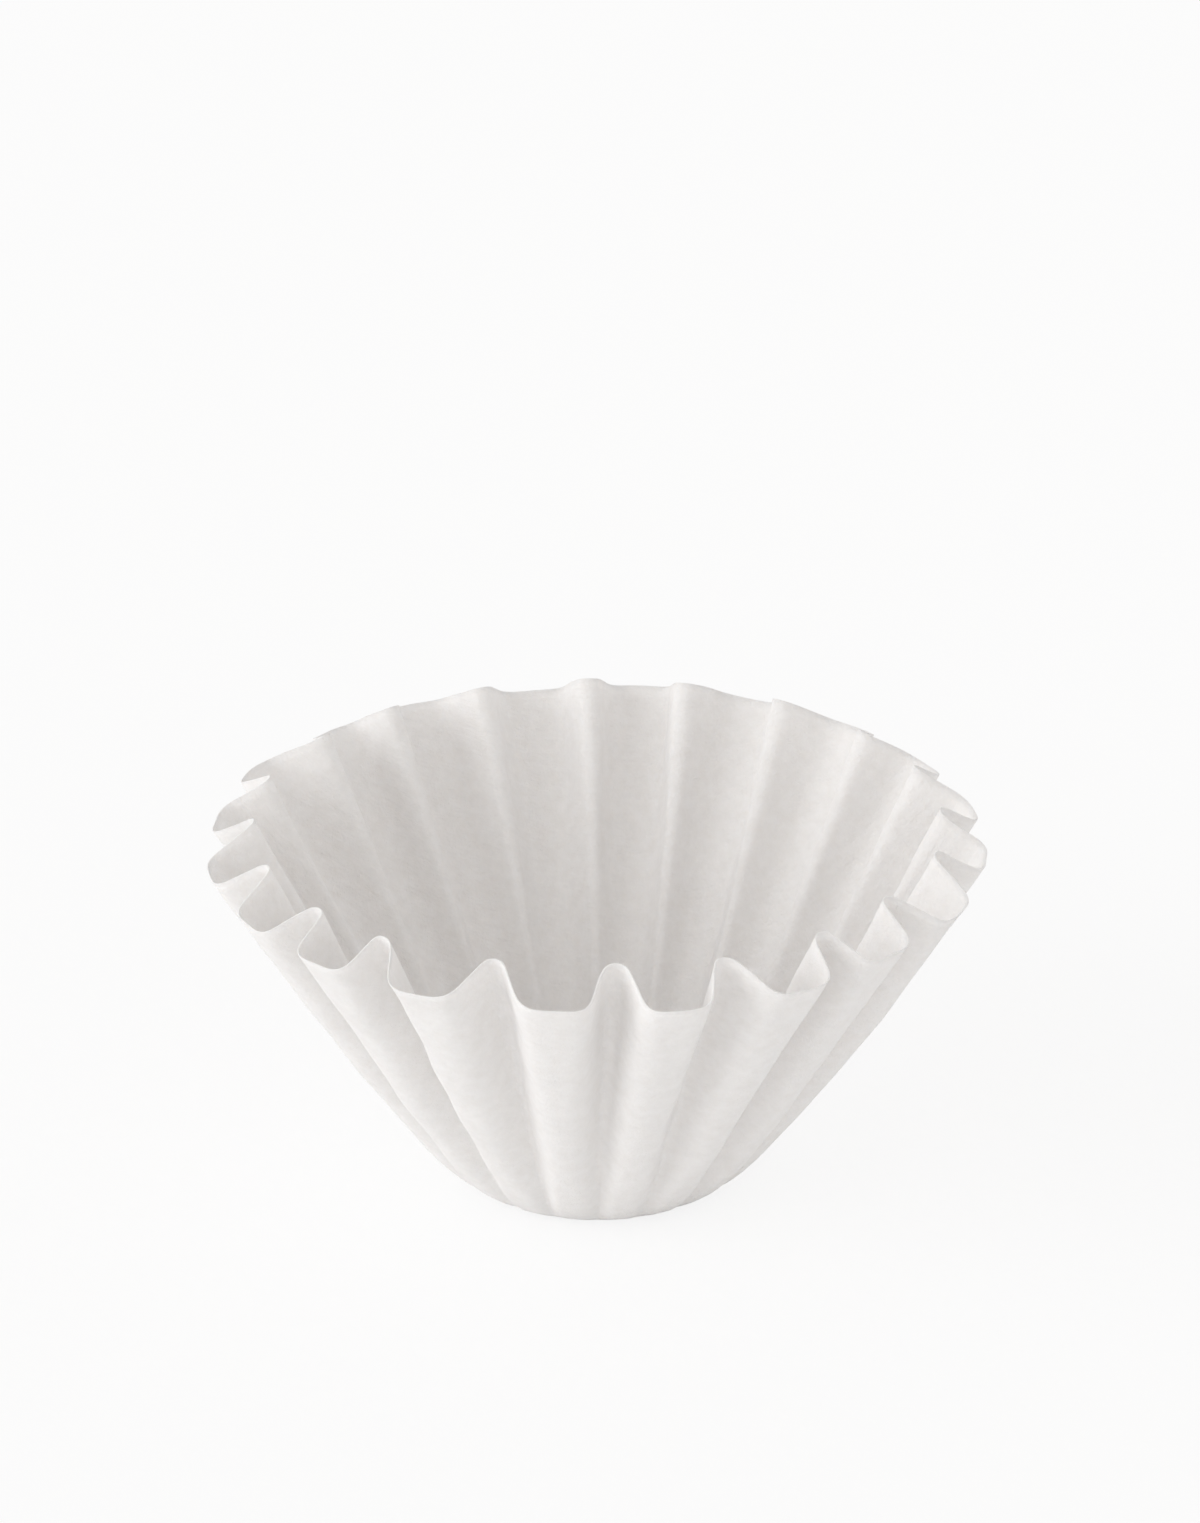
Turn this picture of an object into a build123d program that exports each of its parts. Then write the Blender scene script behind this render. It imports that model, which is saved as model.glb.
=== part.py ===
"""Flat-bottomed paper coffee filter: one round sheet, pressed into a cup with a pleated wall."""

import os
from math import cos, degrees, pi, radians, sin, tan

from build123d import *

# Driving dimensions, in millimetres and degrees
pleat_count = 20
base_diameter = 39.0  # of the flat that the filter stands on, across the crowns of the pleats
corner_reach = 6.5  # how far the base's direction carries on into the soft corner
mouth_diameter = 125.3  # across the crowns, at the rim
crown_height = 57.8  # of the rim, on a crown
rim_lean = 31.4  # of the wall at the rim, from the vertical
rim_reach = 44.2  # how far the rim's direction carries on down the bowed wall
rim_crown = 2.4  # flat that is left on each crown at the rim
foot_bend = 0.4  # radius of a crown's bends where the pleats start, at the edge of the base
valley_ratio = 0.35  # radius of a valley's bend, for each millimetre of a crown's bends
paper = 0.2  # thickness of the sheet
crown_strips = 6  # flat strips of paper that make up a crown's bend, on each side of its flat
valley_strips = 4  # flat strips of paper that make up half a valley
bands = 5  # steps of the wall from base to rim, closest at the corner

# Sizes that follow from those
half_pitch = pi / pleat_count  # angle from a valley to the next crown, in radians
base_radius = base_diameter / 2
mouth_radius = mouth_diameter / 2
bend_room = tan(half_pitch) + (1 + valley_ratio) / cos(half_pitch)  # across, for a bend of 1 mm
rim_bend = (mouth_radius * tan(half_pitch) - rim_crown / 2) / bend_room
rim_handle_radius = mouth_radius - rim_reach * sin(radians(rim_lean))
rim_handle_height = crown_height - rim_reach * cos(radians(rim_lean))


def pleated_ring(crown_radius, height, crown_bend, valley_bend):
    """Corners of a closed line round the cup: for each pleat, a flat crown and the bends to its valleys.

    Every ring turns through the same angles, so the strips of paper between two rings are flat.
    """
    crown_middle = crown_radius - crown_bend
    half_crown = crown_middle * tan(half_pitch) - (crown_bend + valley_bend) / cos(half_pitch)
    valley_middle = crown_middle / cos(half_pitch) - (crown_bend + valley_bend) * tan(half_pitch)
    half_pleat = []
    for strip in range(crown_strips + 1):
        turn = (pi / 2 + half_pitch) * strip / crown_strips
        half_pleat.append(Vector(crown_middle, half_crown) + Vector(cos(turn), sin(turn)) * crown_bend)
    for strip in range(1, valley_strips + 1):
        turn = half_pitch - pi / 2 * (1 + strip / valley_strips)
        middle = Vector(cos(half_pitch), sin(half_pitch)) * valley_middle
        half_pleat.append(middle + Vector(cos(turn), sin(turn)) * valley_bend)
    other_half = [Vector(corner.X, -corner.Y) for corner in reversed(half_pleat[:-1])]
    ring = []
    for pleat in range(pleat_count):
        turn = degrees((2 * pleat + 1) * half_pitch)
        for corner in other_half + half_pleat:
            ring.append(corner.rotate(Axis.Z, turn) + Vector(0, 0, height))
    return ring


def face_rings(profile, thickness):
    """Rings of one face of the sheet, from base to rim; thickness is its distance from the outer face."""
    rings = []
    for band in range(bands + 1):
        level = (band / bands) ** 2
        along = profile % level
        point = profile @ level + Vector(-along.Y, along.X) * thickness
        bend = foot_bend + (rim_bend - foot_bend) * level
        rings.append(pleated_ring(point.X, point.Y, bend - thickness, valley_ratio * bend + thickness))
    return rings


def wall_lengths(rings):
    """Length of the paper from base to rim, along each line up the wall."""
    lengths = [0] * len(rings[0])
    for lower, upper in zip(rings, rings[1:]):
        lengths = [length + (top - foot).length for length, foot, top in zip(lengths, lower, upper)]
    return lengths


def extend_rim(rings, extras):
    """Carry each line up the wall on past the last ring, by its own extra length of paper."""
    lower, upper = rings[-2:]
    rings[-1] = [top + (top - foot).normalized() * extra for foot, top, extra in zip(lower, upper, extras)]


def flat_face(*corners):
    return Face(Wire.make_polygon(corners))


def wall_strips(rings):
    """The flat strips of paper between each ring and the next."""
    strips = []
    for lower, upper in zip(rings, rings[1:]):
        for corner in range(len(lower)):
            strips.append(flat_face(lower[corner - 1], lower[corner], upper[corner], upper[corner - 1]))
    return strips


def cut_edge(outer, inner):
    """The sheet's edge round the rim, which twists, in pairs of triangles."""
    edge = []
    for corner in range(len(outer)):
        edge.append(flat_face(outer[corner - 1], outer[corner], inner[corner]))
        edge.append(flat_face(outer[corner - 1], inner[corner], inner[corner - 1]))
    return edge


# Half of the cup's section through a crown: the flat base turns up in a soft corner to a bowed wall
with BuildLine() as crown_profile:
    Bezier(
        (base_radius, 0),
        (base_radius + corner_reach, 0),
        (rim_handle_radius, rim_handle_height),
        (mouth_radius, crown_height),
    )

# The sheet was cut to a circle, so every line up the wall is as long as a crown's, and valleys reach higher.
outer_rings = face_rings(crown_profile.edge(), 0)
inner_rings = face_rings(crown_profile.edge(), paper)
lengths = wall_lengths(outer_rings)
extras = [max(lengths) - length for length in lengths]
extend_rim(outer_rings, extras)
extend_rim(inner_rings, extras)

with BuildPart() as filter_paper:
    base = [flat_face(*outer_rings[0]), flat_face(*inner_rings[0])]
    wall = wall_strips(outer_rings) + wall_strips(inner_rings)
    add(Solid(Shell(base + wall + cut_edge(outer_rings[-1], inner_rings[-1]))))

filter_paper.part.label = "filter_paper"
os.makedirs("parts", exist_ok=True)
export_step(filter_paper.part, "parts/filter_paper.step", write_pcurves=False)
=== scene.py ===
# %% [markdown]
# # A paper coffee filter, pressed from one round sheet
# A basket filter starts as a flat disc of soft white paper. A press pushes the middle down and gathers
# the rest into a ring of pleats, so the cup has a flat base and a fluted wall. Paper bends easily but
# hardly stretches, and that one fact shapes everything below.
#
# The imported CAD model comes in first, as a fixed frame. It says where the object stands and how large
# it is, and the dressed piece is built in that same place, in metres.

# %% Load the frame
import math

import bpy
import numpy as np
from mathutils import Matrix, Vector


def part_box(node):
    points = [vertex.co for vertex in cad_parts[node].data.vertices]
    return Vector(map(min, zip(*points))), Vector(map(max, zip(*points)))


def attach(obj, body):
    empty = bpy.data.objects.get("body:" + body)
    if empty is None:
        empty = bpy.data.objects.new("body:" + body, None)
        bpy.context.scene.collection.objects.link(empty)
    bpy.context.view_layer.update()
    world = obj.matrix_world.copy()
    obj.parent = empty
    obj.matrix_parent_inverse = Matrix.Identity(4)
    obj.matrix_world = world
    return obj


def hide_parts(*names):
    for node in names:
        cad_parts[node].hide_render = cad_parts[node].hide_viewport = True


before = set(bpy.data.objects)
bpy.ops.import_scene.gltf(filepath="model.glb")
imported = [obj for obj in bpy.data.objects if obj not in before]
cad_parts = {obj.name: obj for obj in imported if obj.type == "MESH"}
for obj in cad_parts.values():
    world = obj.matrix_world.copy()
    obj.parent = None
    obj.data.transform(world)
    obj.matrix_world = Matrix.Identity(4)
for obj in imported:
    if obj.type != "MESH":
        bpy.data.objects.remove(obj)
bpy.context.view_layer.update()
paper_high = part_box("filter_paper")[1]

# %% [markdown]
# ## The camera
# The view looks down into the cup from the front, through a long lens, so the pleats on the far side are
# nearly as large as the near ones. The lens follows from two sizes: how many pixels high the picture is,
# and how much of the object one pixel covers. The camera could be shifted to frame the cup, but aiming
# it at a point above the cup and a little beside its axis gives the same picture without a shift.

# %% Aim the camera
image_height = 1523
sensor_size = 0.036
camera_distance = 1.007
camera_elevation = math.radians(24.0)
pixel_size = 0.0001596  # on the object, at the camera's distance
aim_height = 0.0718
aim_side = 0.00045

camera_data = bpy.data.cameras.new("front_camera")
camera_data.sensor_width = 1000 * sensor_size
camera_data.lens = 1000 * sensor_size * camera_distance / (pixel_size * image_height)
camera = bpy.data.objects.new("front_camera", camera_data)
aim_point = Vector((aim_side, 0, aim_height))
view_back = Vector((0, -math.cos(camera_elevation), math.sin(camera_elevation)))
camera.location = aim_point + view_back * camera_distance
camera.rotation_euler = (-view_back).to_track_quat("-Z", "Y").to_euler()
bpy.context.collection.objects.link(camera)
bpy.context.scene.camera = camera
print("lens", round(camera_data.lens, 1), "mm, camera at", [round(x, 3) for x in camera.location])

# %% [markdown]
# ## The wall's profile
# Cut the cup through the crown of a pleat and the paper runs along the flat base, turns up in a soft
# corner, and climbs to the rim in a line that bows out a little, because a pressed wall springs back most
# in its middle. A polyline with a fillet would do, but one Bezier curve gives the corner and the bow
# together. Its length is added up in fine steps, so that a row of the mesh is always the same distance
# from the middle of the sheet, wherever it ends up.

# %% Draw the crown's profile
pleat_count = 20
paper_thickness = 0.0002
half_pitch = math.pi / pleat_count
base_radius = 0.0195
corner_reach = 0.0065
crown_height = 0.0578
rim_lean = math.radians(31.4)
rim_reach = 0.0442
rim_clearance = 0.0003  # inside the CAD model's mouth
mouth_radius = float(paper_high.x) / math.cos(half_pitch) - rim_clearance

base_edge = np.array((base_radius, 0))
corner_handle = np.array((base_radius + corner_reach, 0))
rim_edge = np.array((mouth_radius, crown_height))
rim_handle = rim_edge - rim_reach * np.array((math.sin(rim_lean), math.cos(rim_lean)))


def crown_curve(share):
    """Points of the Bezier curve from the base's edge to the rim, for shares of it from 0 to 1."""
    share = np.atleast_1d(share)[:, None]
    rest = 1 - share
    near_base = rest**3 * base_edge + 3 * rest**2 * share * corner_handle
    return near_base + 3 * rest * share**2 * rim_handle + share**3 * rim_edge


print("mouth", round(2000 * mouth_radius, 1), "mm across the crowns")

# %% Measure the paper along it
fine_points = 4001
fine_share = np.linspace(0, 1, fine_points)
fine_steps = np.linalg.norm(np.diff(crown_curve(fine_share), axis=0), axis=1)
fine_walk = np.concatenate(([0], np.cumsum(fine_steps)))
wall_length = fine_walk[-1]
sheet_radius = base_radius + wall_length
print("paper from middle to rim:", round(1000 * sheet_radius, 1), "mm, so the disc is",
      round(2000 * sheet_radius, 1), "mm across")

# %% [markdown]
# ## How a pleat uses up the paper
# A circle drawn on the flat disc keeps its length when the disc is pressed, but it has to fit on a smaller
# ring. The spare length goes into the pleats. Walk along half a pleat and the paper leaves a narrow flat
# on the crown, turns in over a wide shoulder, goes straight down the flank and turns back tightly in the
# valley. At the foot the crown's flat takes much of the paper, so the pleats start as narrow grooves, and
# at the rim the valley springs open a little. The angle of the flank grows as the spare length does, and
# halving an interval finds the one at which a row fits its ring.

# %% Shape half a pleat
# Ends of the crown, shoulder, flank and valley, as shares of half a pleat's paper.
foot_stretches = np.array((0, 0.40, 0.72, 0.88, 1))
wall_stretches = np.array((0, 0.07, 0.48, 0.86, 1))
rim_stretches = np.array((0, 0.18, 0.43, 0.80, 1))
stretch_turns = (0, 0, 1, 1, 0)  # how far the paper has turned in at those ends
foot_top = 0.35  # shares of the wall
rim_foot = 0.55
pleat_steps = 400
step_middles = (np.arange(pleat_steps) + 0.5) / pleat_steps


def ease(x):
    """Runs smoothly from 0 to 1 as x does."""
    x = np.clip(x, 0, 1)
    return x * x * (3 - 2 * x)


def half_pleat(angle, climb):
    """How far along and how far in the paper has come, step by step, for half a pleat one unit long."""
    stretches = foot_stretches + (wall_stretches - foot_stretches) * ease(climb / foot_top)
    stretches = stretches + (rim_stretches - wall_stretches) * ease((climb - rim_foot) / (1 - rim_foot))
    heading = angle * np.interp(step_middles, stretches, stretch_turns)
    along = np.concatenate(([0], np.cumsum(np.cos(heading)))) / pleat_steps
    inwards = np.concatenate(([0], np.cumsum(np.sin(heading)))) / pleat_steps
    return along, inwards


print("half a pleat is walked in", pleat_steps, "steps")

# %% Find the angle of its flank
steepest_flank = 2.0
halvings = 40


def fitted_pleat(paper_length, crown_radius, tilt, climb):
    """Half a pleat of this much paper, at the flank's angle at which it fits its part of the ring."""
    low, high = 0.0, steepest_flank
    for _ in range(halvings):
        angle = (low + high) / 2
        along, inwards = paper_length * np.array(half_pleat(angle, climb))
        middle_radius = crown_radius - inwards[-1] / 2 * math.cos(tilt)
        if along[-1] > half_pitch * middle_radius:
            low = angle
        else:
            high = angle
    return along, inwards, angle


rim_angle = fitted_pleat(half_pitch * sheet_radius, mouth_radius, rim_lean, 1.0)[2]
print("at the rim the flanks stand at", round(math.degrees(rim_angle)), "degrees")

# %% [markdown]
# ## Small differences from pleat to pleat
# A press makes the pleats alike, and handling makes them differ. A perfect ring would look like moulded
# plastic, so each pleat gets its own small lean, depth and flare, and all of them lean a little the same
# way round. This grows from nothing at the foot to its full size at the rim, because the foot is held
# by the base. The numbers come from a seeded generator, so every run gives the same cup.

# %% Give each pleat its own character
handling_seed = 38494
common_lean = 2.0  # degrees round the cup's axis, from the foot to the rim
lean_spread = 0.8  # degrees
valley_spread = 0.8  # degrees
depth_spread = 0.05  # as a share of the pleat's depth
flare_spread = 0.0005

chance = np.random.default_rng(handling_seed)
lean = np.radians(common_lean + chance.normal(0, lean_spread, pleat_count))
valley_shift = np.radians(chance.normal(0, valley_spread, pleat_count))
deepening = 1 + chance.normal(0, depth_spread, pleat_count)
flare = chance.normal(0, flare_spread, pleat_count)
print("most that a pleat leans:", round(math.degrees(np.abs(lean).max()), 2), "degrees")

# %% [markdown]
# ## The sheet as a grid
# Rows are circles on the flat disc and columns are its radii. The wall could be a lofted surface, but a
# grid made by a formula keeps every vertex on its own spot of the paper, and then the flat disc itself
# serves as the UV map, with the grain of the paper running straight across it. The columns stand closer
# in the valleys, where the paper turns most sharply.

# %% Lay out rows and columns
half_columns = 18
base_rows = 6
wall_rows = 59
row_crowding = 1.25  # over 1, the rows stand closer at the foot
columns_to = (0, 1, 8, 12, half_columns)  # at the ends of the pleat's stretches
away_steps = np.interp(np.arange(half_columns + 1), columns_to, wall_stretches)
one_pleat = np.concatenate((-away_steps[:0:-1], away_steps[:-1]))
columns = len(one_pleat) * pleat_count
share_of_pleat = np.tile(one_pleat, pleat_count)
pleat_of = np.repeat(np.arange(pleat_count), len(one_pleat))
crown_turn = (2 * pleat_of + 1) * half_pitch
disc_turn = crown_turn + share_of_pleat * half_pitch

base_walk = np.linspace(0, base_radius, base_rows, endpoint=False)[1:]
wall_walk = base_radius + wall_length * np.linspace(0, 1, wall_rows) ** row_crowding
row_walk = np.concatenate((base_walk, wall_walk))
disc_x = np.outer(row_walk, np.cos(disc_turn))
disc_y = np.outer(row_walk, np.sin(disc_turn))
print(len(row_walk), "rows and", columns, "columns")

# %% [markdown]
# ## Pressing the sheet
# On the real cup the press does this in one stroke. A cloth simulation could follow it, but the folds
# would fall where they like, so each row is set on its ring by the pleat that was fitted to it. A pleat's
# own character fades into its neighbour's on the way to the valley that the two share.

# %% Share out the differences
def blend_pleats(values, away_from_crown):
    """A value for each column: the pleat's own at its crown, the mean of two pleats in their valley."""
    here = values[pleat_of]
    side = np.where(share_of_pleat < 0, -1, 1)
    other = values[(pleat_of + side) % pleat_count]
    return here + (other - here) / 2 * ease(away_from_crown)


away = np.abs(share_of_pleat)
lean_of = blend_pleats(lean, away)
deep_of = blend_pleats(deepening, away)
flare_of = blend_pleats(flare, away)
nearest_valley = np.where(share_of_pleat < 0, pleat_of - 1, pleat_of) % pleat_count
valley_of = valley_shift[nearest_valley] * away**2
print("depths from", round(deep_of.min(), 2), "to", round(deep_of.max(), 2), "of a plain pleat's")

# %% Press the sheet into shape
base_hold = 0.07  # share of the wall over which the base keeps the pleats flat
tilt_step = 0.001  # share of the profile to each side, over which its slope is read
pleat_walk = np.linspace(0, 1, pleat_steps + 1)
sheet_points = np.zeros((len(row_walk), columns, 3))
for row, walk in enumerate(row_walk):
    climb = (walk - base_radius) / wall_length
    if climb <= 0:
        sheet_points[row, :, 0] = disc_x[row]
        sheet_points[row, :, 1] = disc_y[row]
        continue
    at = np.interp(walk - base_radius, fine_walk, fine_share)
    crown_radius, height = crown_curve(at)[0]
    ahead = crown_curve(min(at + tilt_step, 1.0))[0] - crown_curve(at - tilt_step)[0]
    tilt = math.atan2(ahead[0], ahead[1])
    pleat_along, pleat_inwards, _ = fitted_pleat(half_pitch * walk, crown_radius, tilt, climb)
    along = np.interp(away, pleat_walk, pleat_along / pleat_along[-1])
    inwards = np.interp(away, pleat_walk, pleat_inwards)
    inwards = inwards * (1 + (deep_of - 1) * climb) * ease(climb / base_hold)
    turn = crown_turn + np.sign(share_of_pleat) * along * half_pitch + (lean_of + valley_of) * climb
    outwards = flare_of * ease(climb) * climb
    radius = crown_radius + outwards - inwards * math.cos(tilt)
    sheet_points[row, :, 0] = radius * np.cos(turn)
    sheet_points[row, :, 1] = radius * np.sin(turn)
    sheet_points[row, :, 2] = height + inwards * math.sin(tilt)
print("rim stands at", round(1000 * sheet_points[-1, :, 2].min(), 1), "to",
      round(1000 * sheet_points[-1, :, 2].max(), 1), "mm")

# %% [markdown]
# ## The softness of real paper
# A bend in real paper has no exact start, and no panel stays quite flat: damp, drying and fingers leave
# long shallow swells. A Displace modifier could add them, but a sum of a few gentle waves, laid across the
# flat disc in random directions, is as easy and stays the same in every run. The base is left level, as
# it stands on the table.

# %% Soften the bends
softening_passes = 2
own_share = 0.5  # of a point's place, the rest is the mean of the two beside it
for _ in range(softening_passes):
    beside = np.roll(sheet_points, 1, axis=1) + np.roll(sheet_points, -1, axis=1)
    sheet_points = own_share * sheet_points + (1 - own_share) / 2 * beside
rim_reaches = np.hypot(sheet_points[-1, :, 0], sheet_points[-1, :, 1])
print("rim reaches", round(1000 * rim_reaches.min(), 1), "to", round(1000 * rim_reaches.max(), 1), "mm out")


# %% Find which way the paper faces
def face_normals(points):
    """Unit normals of the grid, pointing away from the cup's inside."""
    across = np.roll(points, -1, axis=1) - np.roll(points, 1, axis=1)
    upwards = np.gradient(points, axis=0)
    normals = np.cross(across, upwards)
    return normals / np.linalg.norm(normals, axis=2, keepdims=True)


facing = face_normals(sheet_points)
print("base faces", [round(part) for part in facing[0, 0]])


# %% Lay waves across the disc
def swells(count, shortest, longest):
    """A field of about -1 to 1 over the flat disc: waves of random length, direction and start."""
    field = np.zeros_like(disc_x)
    for _ in range(count):
        length = chance.uniform(shortest, longest)
        heading, start = chance.uniform(0, 2 * math.pi, 2)
        across_wave = disc_x * math.cos(heading) + disc_y * math.sin(heading)
        field += np.sin(2 * math.pi * across_wave / length + start)
    return field / math.sqrt(2 * count)


wall_field = swells(count=18, shortest=0.012, longest=0.045)
edge_field = swells(count=14, shortest=0.006, longest=0.03)
print("waves of up to", round(np.abs(wall_field).max(), 1), "and", round(np.abs(edge_field).max(), 1))

# %% Swell the wall a little
swell_size = 0.00022
swell_onset = 3  # the swells are at their full size from a third of the wall upwards
wander_size = 0.00022
wander_power = 8  # keeps the wander of the cut edge close to the rim

wall_climb = np.clip((row_walk - base_radius) / wall_length, 0, 1)[:, None]
swell_height = swell_size * wall_field * ease(swell_onset * wall_climb)
edge_wander = wander_size * edge_field * wall_climb**wander_power
up_wall = np.gradient(sheet_points, axis=0)
up_wall /= np.linalg.norm(up_wall, axis=2, keepdims=True)
sheet_points = sheet_points + facing * swell_height[:, :, None]
sheet_points = sheet_points + up_wall * edge_wander[:, :, None]
print("swells of up to", round(1000 * np.abs(swell_height).max(), 2), "mm")

# %% [markdown]
# ## Two faces and a cut edge
# Paper has two faces and an edge that shows as a thin bright line round the rim. A Solidify modifier would
# add them, but working them out keeps the underside of the base exactly on the floor. Each face is the
# middle of the sheet moved by half its thickness along its own normal.

# %% Place the vertices
middle = sheet_points + np.array((0, 0, paper_thickness / 2))
half_sheet = face_normals(sheet_points) * paper_thickness / 2
outer = (middle + half_sheet).reshape(-1, 3)
inner = (middle - half_sheet).reshape(-1, 3)
vertices = np.concatenate(([(0, 0, 0)], outer, [(0, 0, paper_thickness)], inner))
print(len(vertices), "vertices")

# %% Build the mesh
first_outer = 1
first_inner = len(outer) + 2
last_row = (len(row_walk) - 1) * columns
faces = []
for first, order in ((first_outer, 1), (first_inner, -1)):
    for column in range(columns):
        beside = (column + 1) % columns
        faces.append((first - 1, first + beside, first + column)[::order])
        for start in range(first, first + last_row, columns):
            quad = (start + column, start + beside, start + columns + beside, start + columns + column)
            faces.append(quad[::order])
for column in range(columns):
    beside = (column + 1) % columns
    outer_rim = (first_outer + last_row + column, first_outer + last_row + beside)
    inner_rim = (first_inner + last_row + beside, first_inner + last_row + column)
    faces.append(outer_rim + inner_rim)

paper_mesh = bpy.data.meshes.new("filter_paper_sheet")
paper_mesh.from_pydata(vertices.tolist(), [], faces)
paper_mesh.shade_smooth()
print(sum(len(face) - 2 for face in faces), "triangles")

# %% [markdown]
# ## One piece of paper
# Base, wall and rim are one sheet with no seam, so they are one piece. It stands where the CAD model's
# sheet is.

# %% Map the flat disc
map_centre = 0.5
disc_across = 2 * sheet_radius
disc_map = np.stack((disc_x.ravel(), disc_y.ravel()), axis=1) / disc_across + map_centre
centre_map = [(map_centre, map_centre)]
disc_map = np.concatenate((centre_map, disc_map, centre_map, disc_map))
corner_vertex = np.zeros(len(paper_mesh.loops), dtype=np.int64)
paper_mesh.loops.foreach_get("vertex_index", corner_vertex)
uv_layer = paper_mesh.uv_layers.new(name="flat_disc")
uv_layer.data.foreach_set("uv", disc_map[corner_vertex].ravel())
print("mapped", len(corner_vertex), "corners")

# %% Put the sheet in its place
filter_piece = bpy.data.objects.new("filter_sheet", paper_mesh)
bpy.context.collection.objects.link(filter_piece)
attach(filter_piece, "root")
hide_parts("filter_paper")
print("the sheet rides on root and stands for filter_paper")

# %% [markdown]
# ## Filter paper
# Filter paper is matte, soft and a little warm, and so thin that some light seeps through it, which keeps
# the grooves from turning dark. It is made of loose fibres, so a close look shows a fine felted grain, a
# faint cloudiness where the fibres lie thicker, and a slight crepe. An image could carry all that, but
# noise on the flat disc's map gives it at any distance, and it follows the paper round every bend.

# %% Make the paper
paper_white = (0.896, 0.880, 0.869, 1)
paper_cloud = (0.862, 0.843, 0.828, 1)
paper_specular = 0.2
seeping_share = 0.65  # of the light that goes into the paper before it comes out again
seeping_tint = (1.0, 0.95, 0.9)
seeping_reach = 0.0004

filter_paper = bpy.data.materials.new("filter_paper_white")
filter_paper.use_nodes = True
nodes = filter_paper.node_tree.nodes
links = filter_paper.node_tree.links
shader = nodes["Principled BSDF"]
shader.inputs["Specular IOR Level"].default_value = paper_specular
shader.inputs["Subsurface Weight"].default_value = seeping_share
shader.inputs["Subsurface Radius"].default_value = seeping_tint
shader.inputs["Subsurface Scale"].default_value = seeping_reach
print("paper of", [round(share, 2) for share in paper_white[:3]])

# %% Grain on the flat disc
flat_place = nodes.new("ShaderNodeUVMap")
flat_place.uv_map = "flat_disc"


def noise(name, scale, detail, roughness, stretch=1.0, heading=0.0):
    """A noise texture on the flat disc; stretch draws it out along the heading, as fibres lie."""
    mapping = nodes.new("ShaderNodeMapping")
    mapping.inputs["Rotation"].default_value = (0, 0, math.radians(heading))
    mapping.inputs["Scale"].default_value = (scale / stretch, scale, 1)
    texture = nodes.new("ShaderNodeTexNoise")
    texture.name = name
    texture.noise_dimensions = "2D"
    texture.inputs["Scale"].default_value = 1.0
    texture.inputs["Detail"].default_value = detail
    texture.inputs["Roughness"].default_value = roughness
    links.new(flat_place.outputs["UV"], mapping.inputs["Vector"])
    links.new(mapping.outputs["Vector"], texture.inputs["Vector"])
    return texture.outputs["Fac"]


cloud = noise("cloud", scale=75, detail=5, roughness=0.62)
felt = noise("felt", scale=360, detail=5, roughness=0.65)
crepe = noise("crepe", scale=170, detail=3, roughness=0.5, stretch=5, heading=20)
print("paper textures:", [node.name for node in nodes if node.type == "TEX_NOISE"])

# %% Colour and roughness
cloud_start = 0.3
cloud_end = 0.65
smoothest = 0.82
roughest = 0.98

contrast = nodes.new("ShaderNodeMapRange")
contrast.inputs["From Min"].default_value = cloud_start
contrast.inputs["From Max"].default_value = cloud_end
links.new(cloud, contrast.inputs["Value"])
tone = nodes.new("ShaderNodeMix")
tone.data_type = "RGBA"
tone.inputs["A"].default_value = paper_cloud
tone.inputs["B"].default_value = paper_white
links.new(contrast.outputs["Result"], tone.inputs["Factor"])
links.new(tone.outputs["Result"], shader.inputs["Base Color"])

rough = nodes.new("ShaderNodeMapRange")
rough.inputs["To Min"].default_value = smoothest
rough.inputs["To Max"].default_value = roughest
links.new(felt, rough.inputs["Value"])
links.new(rough.outputs["Result"], shader.inputs["Roughness"])
print("roughness from", smoothest, "to", roughest)


# %% Relief of the fibres and the crepe
def relief(height, strength, distance):
    """A bump node for a noise, as deep as the distance in metres."""
    bump = nodes.new("ShaderNodeBump")
    bump.inputs["Strength"].default_value = strength
    bump.inputs["Distance"].default_value = distance
    links.new(height, bump.inputs["Height"])
    return bump


felt_relief = relief(felt, strength=0.8, distance=0.00022)
crepe_relief = relief(crepe, strength=0.6, distance=0.0003)
links.new(felt_relief.outputs["Normal"], crepe_relief.inputs["Normal"])
links.new(crepe_relief.outputs["Normal"], shader.inputs["Normal"])
paper_mesh.materials.append(filter_paper)
print("paper material has", len(nodes), "nodes")

# %% [markdown]
# ## The table
# The cup stands on a plain white table. A backdrop could hide its far edge, but a table that is wide
# enough needs none. To the eye of the camera, and in mirrors and glass, the table is mixed with plain
# white, which leaves the cup's shadow light and soft. The light that it throws back is a real table's.

# %% Lay the floor
floor_half = 4.0
floor_gap = 0.00005  # below the paper, so that the two faces don't flicker
floor_mesh = bpy.data.meshes.new("table_top")
floor_corners = [(-floor_half, -floor_half, 0), (floor_half, -floor_half, 0),
                 (floor_half, floor_half, 0), (-floor_half, floor_half, 0)]
floor_mesh.from_pydata(floor_corners, [], [(0, 1, 2, 3)])
floor = bpy.data.objects.new("table_top", floor_mesh)
floor.location.z = -floor_gap
bpy.context.collection.objects.link(floor)
print("floor", 2 * floor_half, "m across")


# %% Whiten the table
def seen_directly(tree):
    """A value of 1 for rays that come from the camera, a mirror or a glass, and 0 for light itself."""
    ray = tree.nodes.new("ShaderNodeLightPath")
    total = ray.outputs["Is Camera Ray"]
    for other in ("Is Glossy Ray", "Is Transmission Ray"):
        add = tree.nodes.new("ShaderNodeMath")
        add.operation = "ADD"
        add.use_clamp = True
        tree.links.new(total, add.inputs[0])
        tree.links.new(ray.outputs[other], add.inputs[1])
        total = add.outputs["Value"]
    return total


table_colour = (0.97, 0.97, 0.97, 1)
white_share = 0.82

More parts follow.
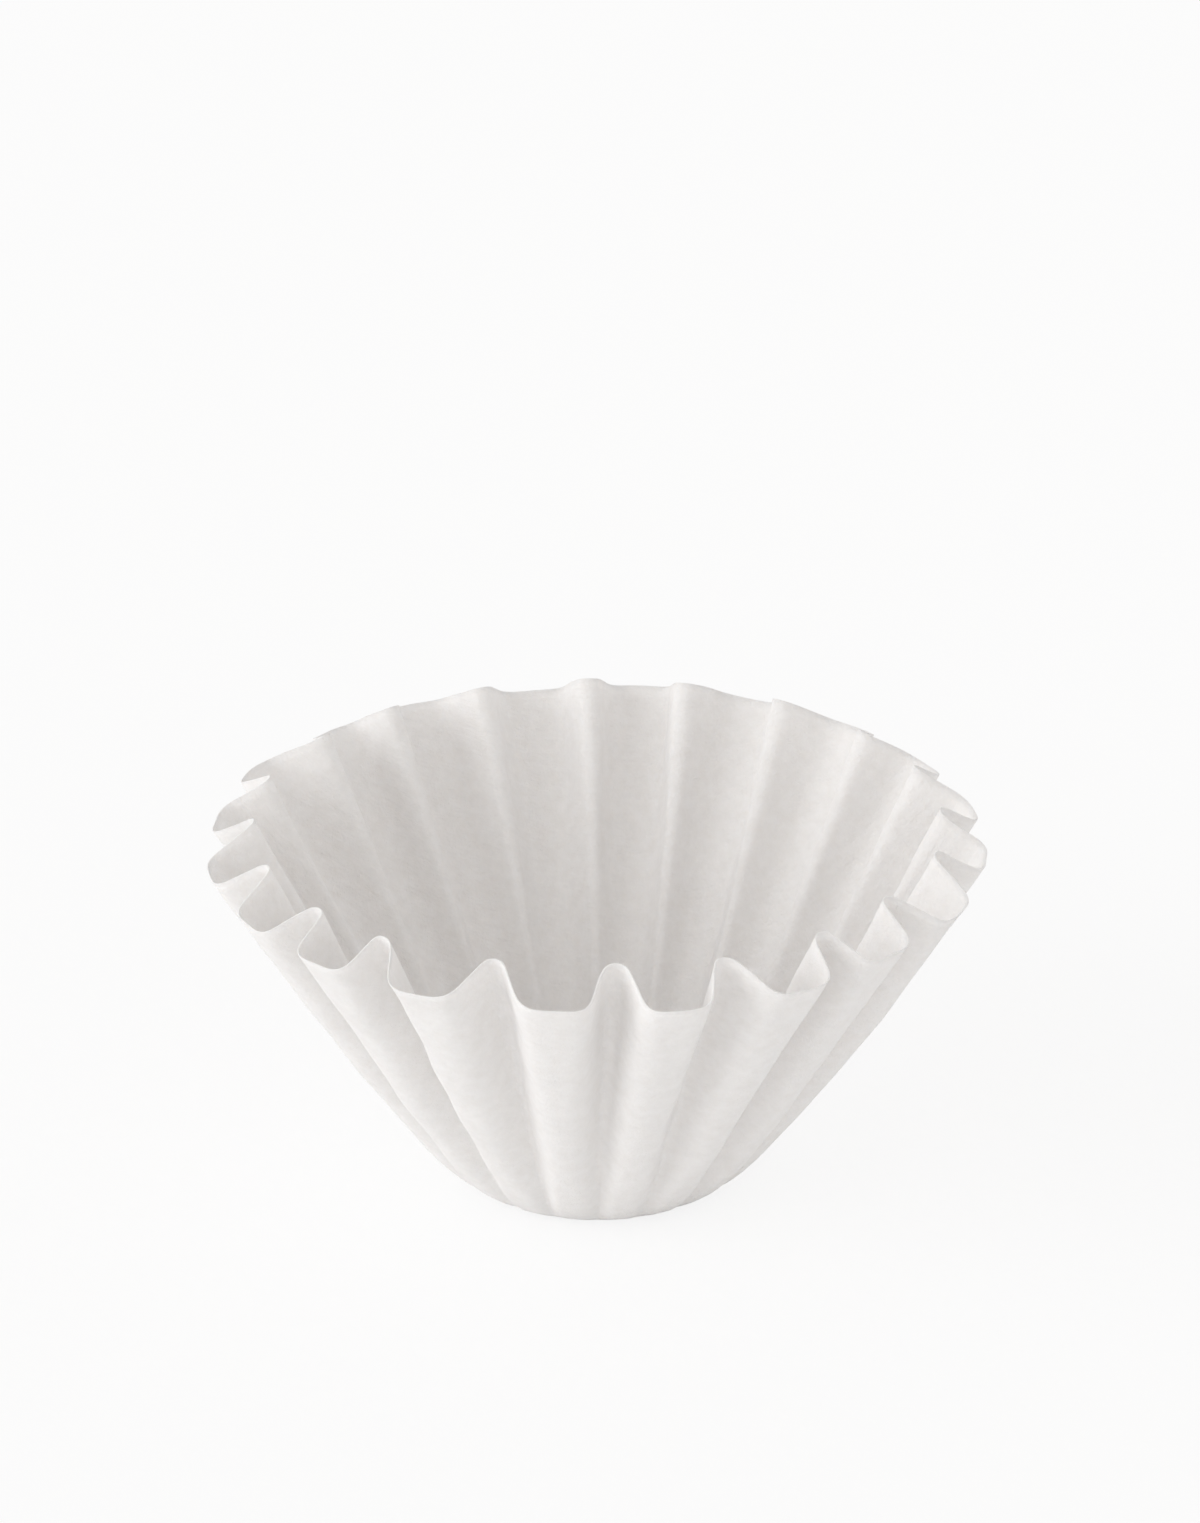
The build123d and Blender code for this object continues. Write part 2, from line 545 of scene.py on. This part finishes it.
table_white = bpy.data.materials.new("table_white")
table_white.use_nodes = True
table = table_white.node_tree
floor_shader = table.nodes["Principled BSDF"]
floor_shader.inputs["Base Color"].default_value = table_colour
floor_shader.inputs["Roughness"].default_value = 1.0
floor_shader.inputs["Specular IOR Level"].default_value = 0.0
plain_white = table.nodes.new("ShaderNodeEmission")
plain_white.inputs["Strength"].default_value = 1.0
how_white = table.nodes.new("ShaderNodeMath")
how_white.operation = "MULTIPLY"
how_white.inputs[1].default_value = white_share
floor_mix = table.nodes.new("ShaderNodeMixShader")
table.links.new(seen_directly(table), how_white.inputs[0])
table.links.new(how_white.outputs["Value"], floor_mix.inputs["Fac"])
table.links.new(floor_shader.outputs["BSDF"], floor_mix.inputs[1])
table.links.new(plain_white.outputs["Emission"], floor_mix.inputs[2])
table.links.new(floor_mix.outputs["Shader"], table.nodes["Material Output"].inputs["Surface"])
floor_mesh.materials.append(table_white)
print("table is", white_share, "plain white to the camera")

# %% [markdown]
# ## The light
# A sun with a wide disc stands for the big soft lamp to the left, low enough to reach under the flare of
# the wall. An area lamp would do too, but its strength would change with its distance. The room fills the
# rest: its pale walls are brighter than its ceiling, so the outside of the cup is lighter than the inside.
# Together they light a level surface at about the strength at which a colour shows as it is written.

# %% Hang the lamp
lamp_strength = 1.05
lamp_width = math.radians(50)
lamp_tint = (0.985, 0.993, 1.0)
lamp_from = Vector((-0.84, -0.40, 0.34))

lamp_data = bpy.data.lights.new("soft_lamp", "SUN")
lamp_data.energy = lamp_strength
lamp_data.angle = lamp_width
lamp_data.color = lamp_tint
lamp = bpy.data.objects.new("soft_lamp", lamp_data)
lamp.rotation_euler = lamp_from.to_track_quat("Z", "Y").to_euler()
bpy.context.collection.objects.link(lamp)
print("one soft lamp of strength", lamp_strength)

# %% Light the room
wall_strength = 1.15
ceiling_strength = 0.55
room_tint = (1.0, 0.985, 0.975, 1)

world = bpy.data.worlds.new("bright_room")
world.use_nodes = True
bpy.context.scene.world = world
room = world.node_tree
sky = room.nodes["Background"]
sky.inputs["Color"].default_value = room_tint
direction = room.nodes.new("ShaderNodeTexCoord")
upwardness = room.nodes.new("ShaderNodeSeparateXYZ")
room_strength = room.nodes.new("ShaderNodeMapRange")
room_strength.inputs["To Min"].default_value = wall_strength
room_strength.inputs["To Max"].default_value = ceiling_strength
room.links.new(direction.outputs["Generated"], upwardness.inputs["Vector"])
room.links.new(upwardness.outputs["Z"], room_strength.inputs["Value"])
room.links.new(room_strength.outputs["Result"], sky.inputs["Strength"])
white_back = room.nodes.new("ShaderNodeBackground")
white_back.inputs["Color"].default_value = (1, 1, 1, 1)
white_back.inputs["Strength"].default_value = 1.0
sky_mix = room.nodes.new("ShaderNodeMixShader")
room.links.new(seen_directly(room), sky_mix.inputs["Fac"])
room.links.new(sky.outputs["Background"], sky_mix.inputs[1])
room.links.new(white_back.outputs["Background"], sky_mix.inputs[2])
room.links.new(sky_mix.outputs["Shader"], room.nodes["World Output"].inputs["Surface"])
bpy.context.scene.view_settings.view_transform = "Standard"
print("walls of strength", wall_strength, "and a ceiling of", ceiling_strength)
